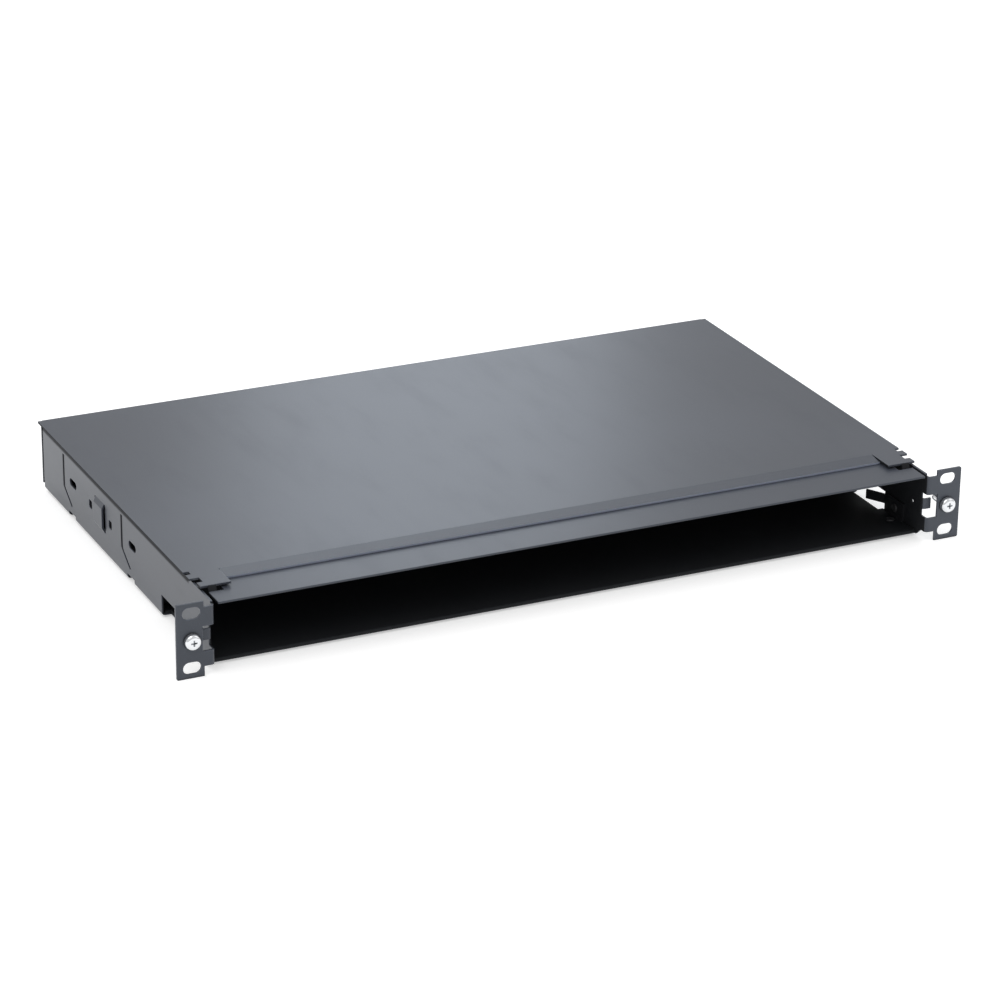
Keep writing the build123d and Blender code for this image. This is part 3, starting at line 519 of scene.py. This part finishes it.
class CoatSettings(bpy.types.PropertyGroup):
    """Colours of the powder-coated sheet, and where shade is painted on it as a dark dull coat."""

    colour: bpy.props.FloatVectorProperty(
        name="Coat Colour", description="Colour of the powder coat", subtype="COLOR",
        default=(0.040, 0.045, 0.058),
    )
    # Inside Colour is painted shade: the dark colour of the dull shader that stands in for the shade inside
    # and in creases
    inside_shade_colour: bpy.props.FloatVectorProperty(
        name="Inside Colour", description="Colour of the painted shade inside", subtype="COLOR",
        default=(0.014, 0.015, 0.017),
    )
    gloss: bpy.props.FloatProperty(
        name="Coat Roughness", description="Roughness of the powder coat where it is clean",
        default=0.34, min=0, max=1,
    )
    # Shade sets how strongly shade is painted on the cover's cut edges and on the walls under its edge
    shade: bpy.props.FloatProperty(
        name="Shade", description="How dull the coat is on cut edges and under the cover's edge",
        default=0.96, min=0, max=1, subtype="FACTOR",
    )
    # Crease Width is the reach of the painted shade out of gaps and corners
    crease_shade_width: measure("Crease Width", "Reach of the dull coat out of gaps and corners", 2.6)
    cover_front: measure("Cover Front", "Depth at which the cover starts to hang over the walls", 34.0)
    corner_start: measure("Corner Start", "From the middle to the cover's corner tabs", 202.9)
    # Corner Front bounds the painted shade on the cover's tongues
    tongue_shade_front: measure("Corner Front", "Depth in front of which the cover's tongues are dull", 16.4)
    # Shaded Height bounds the painted shadow under the cover's edge
    shaded_height: bpy.props.FloatVectorProperty(
        name="Shaded Height", description="Where the dull strip under the cover's edge starts and is full",
        size=2, default=(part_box("top_cover")[1].z - 6.2 * MM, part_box("top_cover")[1].z - 4.2 * MM),
    )
    slit_depths: bpy.props.FloatVectorProperty(
        name="Slit Depths", description="Depths of the walls' two hooked slits", size=2,
        default=(0.1395, 0.2375),
    )
    slit_height: bpy.props.FloatVectorProperty(
        name="Slit Height", description="Height of the slits' end, turn and top", size=3,
        default=(-0.0126, -0.0045, 0.0155),
    )
    # Slit Run, Slit Reach and Slit Shade shape the painted shadow along the hooked slits
    slit_run: measure("Slit Run", "How far the slits' lower part runs to the front", 13.0)
    slit_reach: measure("Slit Reach", "Reach of the dull coat out of the slits", 2.2)
    slit_shade: bpy.props.FloatProperty(
        name="Slit Shade", description="How dull the coat is along the hooked slits",
        default=0.8, min=0, max=1, subtype="FACTOR",
    )
    # Inside Front, Inside Rear, Inside Half Width and Inside Height bound the box in which shade is painted
    inner_front: measure("Inside Front", "Depth at which the dull inside starts", 0.2)
    inner_rear: measure(
        "Inside Rear", "Depth of the middle of the rear panel's sheet",
        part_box("rear_panel")[1].y / MM - SHEET / 2,
    )
    inner_half_width: measure("Inside Half Width", "From the middle to the middle of a wall's sheet", 219.9)
    inner_height: bpy.props.FloatVectorProperty(
        name="Inside Height", description="Lowest and highest point of the dull inside", size=2,
        default=(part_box("base_pan")[0].z + SHEET / 2 * MM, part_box("front_rail")[1].z - SHEET / 2 * MM),
    )


class FastenerSettings(bpy.types.PropertyGroup):
    """Sizes of the screws, the ground stud and the grommets."""

    rack_head: measure("Rack Screw Head", "Radius of a rack screw's head", 4.6)
    rack_head_height: measure("Rack Screw Head Height", "Height of a rack screw's head", 3.6)
    rack_shank: measure("Rack Screw Shank", "Radius of a rack screw's thread", 2.4)
    rack_neck: measure("Rack Screw Neck", "Radius of a rack screw's thin neck", 1.9)
    rack_pitch: measure("Rack Screw Pitch", "Pitch of a rack screw's thread", 0.79)
    cover_head: measure("Cover Screw Head", "Radius of a cover screw's head", 2.9)
    cover_head_height: measure("Cover Screw Head Height", "Height of a cover screw's head", 2.1)
    cover_shank: measure("Cover Screw Shank", "Radius of a cover screw's thread", 1.5)
    cover_pitch: measure("Cover Screw Pitch", "Pitch of a cover screw's thread", 0.5)
    nut_neck: measure("Press Nut Neck", "Radius of the press nuts' neck in the sheet", 2.5)
    nut_neck_length: measure("Press Nut Neck Length", "Length of the press nuts' neck", 1.2)
    spool_head: measure("Spool Screw Head", "Radius of a spool screw's head", 4.0)
    spool_head_height: measure("Spool Screw Head Height", "Height of a spool screw's head", 2.6)
    spool_shank: measure("Spool Screw Shank", "Radius of a spool screw's thread", 1.9)
    spool_pitch: measure("Spool Screw Pitch", "Pitch of a spool screw's thread", 0.6)
    stud_shank: measure("Stud Shank", "Radius of the ground stud's thread", 2.5)
    stud_pitch: measure("Stud Pitch", "Pitch of the ground stud's thread", 0.8)
    stud_plate: measure("Stud Plate", "Radius of the ground stud's flat head", 4.5)
    stud_plate_height: measure("Stud Plate Height", "Thickness of the ground stud's flat head", 1.4)
    grommet_neck: measure("Grommet Neck", "Radius of the grommets' groove", 10.45)
    grommet_bore: measure("Grommet Bore", "Radius of the hole in the grommets", 7.5)
    grommet_round: measure("Grommet Round", "Radius of the round at the ends of that hole", 0.9)


class StageSettings(bpy.types.PropertyGroup):
    """The floor, the light and the camera."""

    floor_shade: bpy.props.FloatProperty(
        name="Floor Shade", description="Lightness of the floor", default=0.80, min=0, max=1
    )
    floor_glow: bpy.props.FloatProperty(
        name="Floor Glow", description="Light that the floor adds for the camera and in reflections",
        default=0.45, min=0,
    )
    sky_strength: bpy.props.FloatProperty(
        name="Sky Strength", description="Strength of the soft light from all round", default=0.72, min=0
    )
    focal_length: bpy.props.FloatProperty(
        name="Focal Length", description="Focal length of the camera's lens, in millimetres",
        default=134.09, min=1,
    )
    azimuth: bpy.props.FloatProperty(
        name="Azimuth", description="Side that the camera stands on", subtype="ANGLE",
        default=radians(-25.62),
    )
    elevation: bpy.props.FloatProperty(
        name="Elevation", description="Height of the camera over the horizon", subtype="ANGLE",
        default=radians(22.85),
    )
    tilt: bpy.props.FloatProperty(
        name="Tilt", description="Roll of the camera", subtype="ANGLE", default=radians(0.80)
    )
    distance: measure("Distance", "Distance of the camera from the point it is turned about", 2174.0)
    aim: bpy.props.FloatVectorProperty(
        name="Aim", description="Point that the camera is turned about", subtype="TRANSLATION",
        default=(0, 0.138, 0),
    )
    slide: bpy.props.FloatVectorProperty(
        name="Slide", description="How far the camera is moved right and up in its own frame", size=2,
        default=(0.01198, -0.01131),
    )


def sizes_of(context, *names):
    """The named lengths of the fasteners, in millimetres."""
    return [getattr(context.scene.patch_panel_fasteners, name) / MM for name in names]


class PANEL_OT_coat(bpy.types.Operator):
    """Gives every folded sheet its powder coat"""

    bl_idname = "patch_panel.coat"
    bl_label = "Coat Sheet Metal"

    def execute(self, context):
        settings = context.scene.patch_panel_coat
        # The crease shade depth sets how strongly shade is painted in creases on each sheet
        coat = powder_coat("black_powder_coat", settings, crease_shade_depth=0.92)
        own_coats = {
            "top_cover": powder_coat("cover_powder_coat", settings, crease_shade_depth=0.10, lid=True),
            "front_rail": powder_coat("rail_powder_coat", settings, crease_shade_depth=0.12, shine=1.45),
        }
        for row in ROWS:
            if row["material_slot"] == "black_powder_coat":
                dress(row["node"], own_coats.get(row["node"], coat))
        return {"FINISHED"}


class PANEL_OT_small_parts(bpy.types.Operator):
    """Gives the spools, the latch sockets and the rivets their finishes"""

    bl_idname = "patch_panel.small_parts"
    bl_label = "Finish Plastic and Rivets"

    def execute(self, context):
        for row in ROWS:
            if row["material_slot"] in ("black_plastic", "blackened_steel"):
                dress(row["node"], finish(row["material_slot"]))
        return {"FINISHED"}


class PANEL_OT_rack_screws(bpy.types.Operator):
    """Makes the two captive rack screws and the washers that keep them in the ears"""

    bl_idname = "patch_panel.rack_screws"
    bl_label = "Make Rack Screws"

    def execute(self, context):
        head, head_height, shank, neck_radius, pitch = sizes_of(
            context, "rack_head", "rack_head_height", "rack_shank", "rack_neck", "rack_pitch"
        )
        for hand in ("left", "right"):
            low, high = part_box(f"{hand}_rack_screw")
            seat = low.y + head_height * MM
            centre = middle(f"{hand}_rack_screw")
            washer_low, washer_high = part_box(f"{hand}_retaining_washer")
            neck = (washer_high.y - seat) / MM + 0.4
            bm = pan_screw(head, head_height, shank, (high.y - seat) / MM, pitch, neck, neck_radius)
            stand(bm, [Vector((centre.x, seat, centre.z))], FRONT)
            piece_from(
                bm, f"{hand}_rack_screw_turned", "bright_zinc",
                f"{hand}_rack_screw", f"{hand}_rack_screw",
            )
            bm = bmesh.new()
            thickness = (washer_high.y - washer_low.y) / MM
            outside = (washer_high.x - washer_low.x) / 2 / MM
            turn(bm, ring(neck_radius + 0.01, outside, thickness), closed=True)
            stand(bm, [Vector((centre.x, washer_high.y, centre.z))], FRONT)
            piece_from(
                bm, f"{hand}_retaining_washer_turned", "bright_zinc",
                f"{hand}_rack_screw", f"{hand}_retaining_washer",
            )
        return {"FINISHED"}


class PANEL_OT_cover_screws(bpy.types.Operator):
    """Makes the screws that hold the cover's rear edge, and their press nuts"""

    bl_idname = "patch_panel.cover_screws"
    bl_label = "Make Cover Screws"

    def execute(self, context):
        head, head_height, shank, pitch, nut_neck, nut_neck_length = sizes_of(
            context, "cover_head", "cover_head_height", "cover_shank", "cover_pitch",
            "nut_neck", "nut_neck_length",
        )
        low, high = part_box("cover_screws")
        seat = high.y - head_height * MM
        inset = head * MM
        columns = (low.x + inset, (low.x + high.x) / 2, high.x - inset)
        height = (low.z + high.z) / 2
        bm = pan_screw(head, head_height, shank, (seat - low.y) / MM, pitch, neck=1.4, neck_radius=1.45)
        stand(bm, [Vector((x, seat, height)) for x in columns], REAR)
        piece_from(bm, "cover_screws_turned", "bright_zinc", "chassis", "cover_screws")

        low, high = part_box("cover_nuts")
        outside = (high.z - low.z) / 2 / MM
        depth = (high.y - low.y) / MM
        shoulder = depth - nut_neck_length
        bore = shank + 0.05
        bm = bmesh.new()
        turn(bm, [
            (bore, 0.2), (shank + 0.3, 0), *arc(outside - 0.3, 0.3, 0.3, -90, 0, steps=3),
            *arc(outside - 0.2, shoulder - 0.2, 0.2, 0, 90, steps=3),
            (nut_neck, shoulder), (nut_neck, depth), (bore, depth),
        ], closed=True)
        stand(bm, [Vector((x, low.y, height)) for x in columns], REAR)
        piece_from(bm, "cover_nuts_turned", "bright_zinc", "chassis", "cover_nuts")
        return {"FINISHED"}


class PANEL_OT_spool_screws(bpy.types.Operator):
    """Makes the screws that hold the slack spools down"""

    bl_idname = "patch_panel.spool_screws"
    bl_label = "Make Spool Screws"

    def execute(self, context):
        head, head_height, shank, pitch = sizes_of(
            context, "spool_head", "spool_head_height", "spool_shank", "spool_pitch"
        )
        low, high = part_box("spool_screws")
        seat = high.z - head_height * MM
        inset = head * MM
        depth = (low.y + high.y) / 2
        bm = pan_screw(head, head_height, shank, (seat - low.z) / MM, pitch)
        stand(bm, [Vector((x, depth, seat)) for x in (low.x + inset, high.x - inset)], UP)
        piece_from(bm, "spool_screws_turned", "bright_zinc", "chassis", "spool_screws")
        return {"FINISHED"}


class PANEL_OT_grommets(bpy.types.Operator):
    """Makes the rubber grommets of the cable entries"""

    bl_idname = "patch_panel.grommets"
    bl_label = "Make Grommets"

    def execute(self, context):
        neck, bore, mouth = sizes_of(context, "grommet_neck", "grommet_bore", "grommet_round")
        for name in (
            "left_outer_grommet", "left_inner_grommet", "right_inner_grommet", "right_outer_grommet"
        ):
            low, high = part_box(name)
            flange = (high.x - low.x) / 2 / MM
            depth = (high.y - low.y) / MM
            lip = (depth - SHEET) / 2
            soft, rim = 0.46 * lip, 0.3
            bm = bmesh.new()
            turn(bm, [
                *arc(bore + mouth, mouth, mouth, 180, 270, steps=6),
                *arc(flange - soft, soft, soft, -90, 0),
                *arc(flange - rim, lip - rim, rim, 0, 90, steps=3),
                (neck, lip), (neck, lip + SHEET),
                *arc(flange - rim, lip + SHEET + rim, rim, -90, 0, steps=3),
                *arc(flange - soft, depth - soft, soft, 0, 90),
                *arc(bore + mouth, depth - mouth, mouth, 90, 180, steps=6),
            ], closed=True, steps=64)
            stand(bm, [Vector((middle(name).x, low.y, middle(name).z))], REAR)
            piece_from(bm, f"{name}_moulded", "rubber", "chassis", name)
        return {"FINISHED"}


class PANEL_OT_ground_stud(bpy.types.Operator):
    """Makes the threaded ground stud with its washer and its hexagon nut"""

    bl_idname = "patch_panel.ground_stud"
    bl_label = "Make Ground Stud"

    def execute(self, context):
        shank, pitch, plate, plate_height = sizes_of(
            context, "stud_shank", "stud_pitch", "stud_plate", "stud_plate_height"
        )
        centre = middle("ground_stud")
        low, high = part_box("ground_stud")
        length = (high.y - low.y) / MM
        core = core_of(shank, pitch)
        thread_start = plate_height + SHEET
        bm = bmesh.new()
        turn(bm, [
            (0, 0), *arc(plate - 0.3, 0.3, 0.3, -90, 0, steps=3), (plate, plate_height),
            (shank, plate_height), (shank, thread_start), (core, thread_start + 0.4),
            (core, length - 0.7), (0.6 * core, length), (0, length),
        ])
        thread(bm, shank, pitch, thread_start + 0.2, length - 0.4)
        stand(bm, [Vector((centre.x, low.y, centre.z))], REAR)
        piece_from(bm, "ground_stud_threaded", "bright_zinc", "chassis", "ground_stud")

        low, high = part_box("ground_washer")
        bm = bmesh.new()
        outside = (high.x - low.x) / 2 / MM
        turn(bm, ring(shank + 0.05, outside, (high.y - low.y) / MM), closed=True)
        stand(bm, [Vector((centre.x, low.y, centre.z))], REAR)
        piece_from(bm, "ground_washer_turned", "bright_zinc", "chassis", "ground_washer")

        low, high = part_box("ground_nut")
        corner, thickness = (high.x - low.x) / 2 / MM, (high.y - low.y) / MM
        face, outer, mouth = 0.84 * corner, 1.02 * corner, shank + 0.6
        bm = bmesh.new()
        bmesh.ops.create_cone(
            bm, cap_ends=True, segments=6, radius1=corner, radius2=corner, depth=thickness,
            matrix=Matrix.Translation((0, 0, thickness / 2)),
        )
        barrel = bmesh.new()
        turn(barrel, [
            (0, -0.01), (face, -0.01), (outer, 0.16 * thickness), (outer, 0.84 * thickness),
            (face, thickness + 0.01), (0, thickness + 0.01),
        ])
        bore = bmesh.new()
        turn(bore, [
            (0, -1), (mouth, -1), (mouth, 0), (shank, 0.6), (shank, thickness - 0.6),
            (mouth, thickness), (mouth, thickness + 1), (0, thickness + 1),
        ])
        bm = carve(carve(bm, barrel, "INTERSECT"), bore)
        stand(bm, [Vector((centre.x, low.y, centre.z))], REAR)
        piece_from(bm, "ground_nut_chamfered", "bright_zinc", "chassis", "ground_nut")
        return {"FINISHED"}


# The lamps' names, places and sizes in metres, power in watts and colours
LAMPS = (
    ("key_light", (-1.3, -0.5, 2.4), (2.2, 2.2), 26.0, (1, 1, 1)),
    ("fill_light", (1.8, -1.0, 1.6), (1.8, 1.8), 6.0, (1, 1, 1)),
    ("sheen_light", (0.40, 1.10, 0.45), (0.34, 0.55), 1.05, (0.82, 0.90, 1.0)),
    ("lip_light", (0.42, 0.95, 1.12), (0.7, 0.42), 2.1, (0.90, 0.95, 1.0)),
)
LAMP_TARGET = Vector((0, 0.12, 0))
FLOOR_REACH, FLOOR_GAP = 12, 0.0001  # metres


class PANEL_OT_stage(bpy.types.Operator):
    """Sets the floor, the soft light and the camera"""

    bl_idname = "patch_panel.stage"
    bl_label = "Set the Stage"

    def floor(self, scene, settings):
        """A pale floor under the lowest point, white to the camera, that keeps the shadow."""
        bm = bmesh.new()
        bmesh.ops.create_grid(bm, x_segments=1, y_segments=1, size=FLOOR_REACH)
        bmesh.ops.translate(bm, vec=(0, 0, cad_bounds[0].z - FLOOR_GAP), verts=bm.verts)
        mesh = bpy.data.meshes.new("floor")
        bm.to_mesh(mesh)
        bm.free()
        paper = Finish("floor_paper")
        camera, glossy, clear = [
            paper.node("ShaderNodeLightPath", output=name)
            for name in ("Is Camera Ray", "Is Glossy Ray", "Is Transmission Ray")
        ]
        glow = settings.floor_glow * camera.most(glossy).most(clear)
        diffuse = paper.node("ShaderNodeBsdfDiffuse", {}, {"Color": rgba((settings.floor_shade,) * 3)})
        white = paper.node("ShaderNodeEmission", {}, {"Color": rgba((1, 1, 1)), "Strength": glow})
        mesh.materials.append(paper.done(paper.node("ShaderNodeAddShader", {}, {0: diffuse, 1: white})))
        floor = bpy.data.objects.new("floor", mesh)
        scene.collection.objects.link(floor)

    def light(self, scene, settings):
        """Soft light from all round, white to the camera, and the lamps."""
        sky = Finish("studio", "worlds")
        camera_ray = sky.node("ShaderNodeLightPath", output="Is Camera Ray")
        strength = settings.sky_strength + (1 - settings.sky_strength) * camera_ray
        sockets = {"Color": rgba((1, 1, 1)), "Strength": strength}
        scene.world = sky.done(sky.node("ShaderNodeBackground", {}, sockets), "ShaderNodeOutputWorld")
        for name, place, size, power, colour in LAMPS:
            lamp = bpy.data.lights.new(name, "AREA")
            lamp.shape = "RECTANGLE"
            lamp.size, lamp.size_y = size
            lamp.energy = power
            lamp.color = colour
            lit = bpy.data.objects.new(name, lamp)
            lit.location = place
            lit.rotation_euler = (LAMP_TARGET - Vector(place)).to_track_quat("-Z", "Y").to_euler()
            lit.visible_camera = False
            scene.collection.objects.link(lit)

    def camera(self, scene, settings):
        """The camera, turned about its aim and slid in its own frame."""
        back = Vector((
            sin(settings.azimuth) * cos(settings.elevation),
            -cos(settings.azimuth) * cos(settings.elevation),
            sin(settings.elevation),
        ))
        right = (-back).cross(Vector(UP)).normalized()
        up = right.cross(-back)
        tilt = settings.tilt
        right, up = cos(tilt) * right + sin(tilt) * up, cos(tilt) * up - sin(tilt) * right
        lens = bpy.data.cameras.new("camera")
        lens.lens = settings.focal_length
        lens.sensor_width = 36
        lens.clip_start, lens.clip_end = 0.05, 100
        camera = bpy.data.objects.new("camera", lens)
        across, rise = settings.slide
        spot = Vector(settings.aim) + back * settings.distance + right * across + up * rise
        turned = Matrix((right, up, back)).transposed().to_4x4()
        camera.matrix_world = Matrix.Translation(spot) @ turned
        scene.collection.objects.link(camera)
        scene.camera = camera

    def execute(self, context):
        scene = context.scene
        settings = scene.patch_panel_stage
        self.floor(scene, settings)
        self.light(scene, settings)
        self.camera(scene, settings)
        scene.view_settings.view_transform = "Standard"
        return {"FINISHED"}


OPERATORS = (
    PANEL_OT_coat, PANEL_OT_small_parts, PANEL_OT_rack_screws, PANEL_OT_cover_screws,
    PANEL_OT_spool_screws, PANEL_OT_grommets, PANEL_OT_ground_stud, PANEL_OT_stage,
)
GROUPS = {
    "patch_panel_coat": CoatSettings,
    "patch_panel_fasteners": FastenerSettings,
    "patch_panel_stage": StageSettings,
}


class PANEL_PT_sidebar(bpy.types.Panel):
    """Lists the pieces of the patch panel"""

    bl_idname = "PANEL_PT_sidebar"
    bl_label = "Patch Panel"
    bl_space_type = "VIEW_3D"
    bl_region_type = "UI"
    bl_category = "Patch Panel"

    def draw(self, context):
        for operator in OPERATORS:
            self.layout.operator(operator.bl_idname)
        for group, kind in GROUPS.items():
            for name in kind.__annotations__:
                self.layout.prop(getattr(context.scene, group), name)


CLASSES = (*GROUPS.values(), *OPERATORS, PANEL_PT_sidebar)


def register():
    for cls in CLASSES:
        bpy.utils.register_class(cls)
    for group, kind in GROUPS.items():
        setattr(bpy.types.Scene, group, bpy.props.PointerProperty(type=kind))


def unregister():
    for group in GROUPS:
        delattr(bpy.types.Scene, group)
    for cls in reversed(CLASSES):
        bpy.utils.unregister_class(cls)


def main():
    register()
    bpy.ops.patch_panel.coat()
    bpy.ops.patch_panel.small_parts()
    bpy.ops.patch_panel.rack_screws()
    bpy.ops.patch_panel.cover_screws()
    bpy.ops.patch_panel.spool_screws()
    bpy.ops.patch_panel.grommets()
    bpy.ops.patch_panel.ground_stud()
    bpy.ops.patch_panel.stage()


if __name__ == "__main__":
    main()
